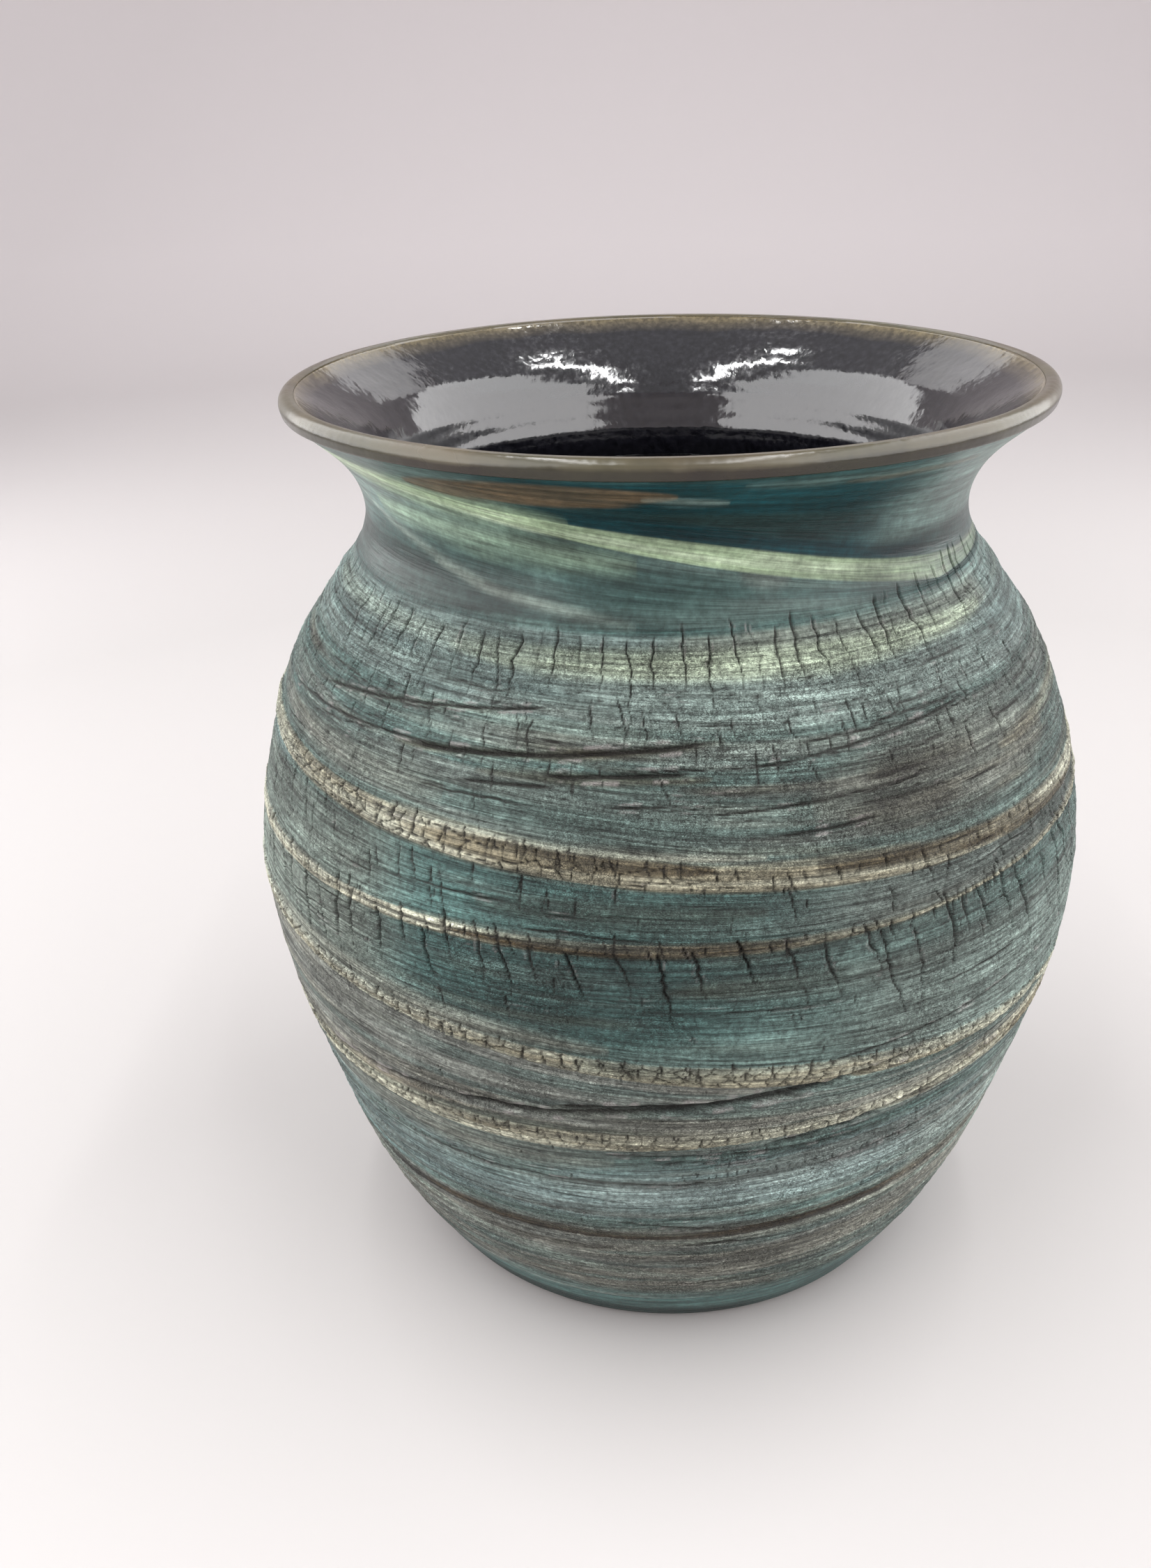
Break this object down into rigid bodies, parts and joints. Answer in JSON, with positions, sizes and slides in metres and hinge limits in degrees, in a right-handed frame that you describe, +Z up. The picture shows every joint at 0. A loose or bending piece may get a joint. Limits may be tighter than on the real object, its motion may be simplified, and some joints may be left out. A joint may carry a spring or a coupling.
{
  "type": "stoneware pottery vase",
  "caption": "Thrown stoneware vase of marbled clays with a flared mouth, narrow neck, round belly and turned foot, a crackled matt skin and a glossy black liner.",
  "frame": {"origin": "middle of the standing face, on the vase's axis", "axes": "+Z up along the vase's axis, -Y towards the front, +X to the right seen from the front"},
  "size_m": [0.1422, 0.1422, 0.1537],
  "materials": {
    "body_clay": "unglazed, dry",
    "liner_glaze": "black, glossy",
    "lip_glaze": "tan and olive, glossy",
    "foot_clay": "smooth, matt",
    "grey_clay": "striated, matt",
    "brown_clay": "matt",
    "blue_clay": "finely cracked, matt",
    "cream_clay": "cracked, matt",
    "teal_clay": "deeply cracked, matt",
    "shoulder_clay": "cracked, matt",
    "neck_clay": "smooth, satin",
    "green_clay": "smooth, satin",
    "collar_clay": "smooth, satin"
  },
  "bodies": {
    "root": {"clay_body": "body_clay", "liner_glaze": "liner_glaze", "lip_glaze": "lip_glaze", "foot_band": "foot_clay", "lower_skin": "grey_clay", "brown_seam": "brown_clay", "blue_skin": "blue_clay", "buff_seam": "cream_clay", "middle_skin": "grey_clay", "cream_seam_low": "cream_clay", "dark_skin": "teal_clay", "cream_seam_middle": "cream_clay", "teal_skin": "teal_clay", "cream_seam_high": "cream_clay", "shoulder_skin": "shoulder_clay", "neck_skin": "neck_clay", "green_seam": "green_clay", "collar_skin": "collar_clay"}
  },
  "joints": []
}
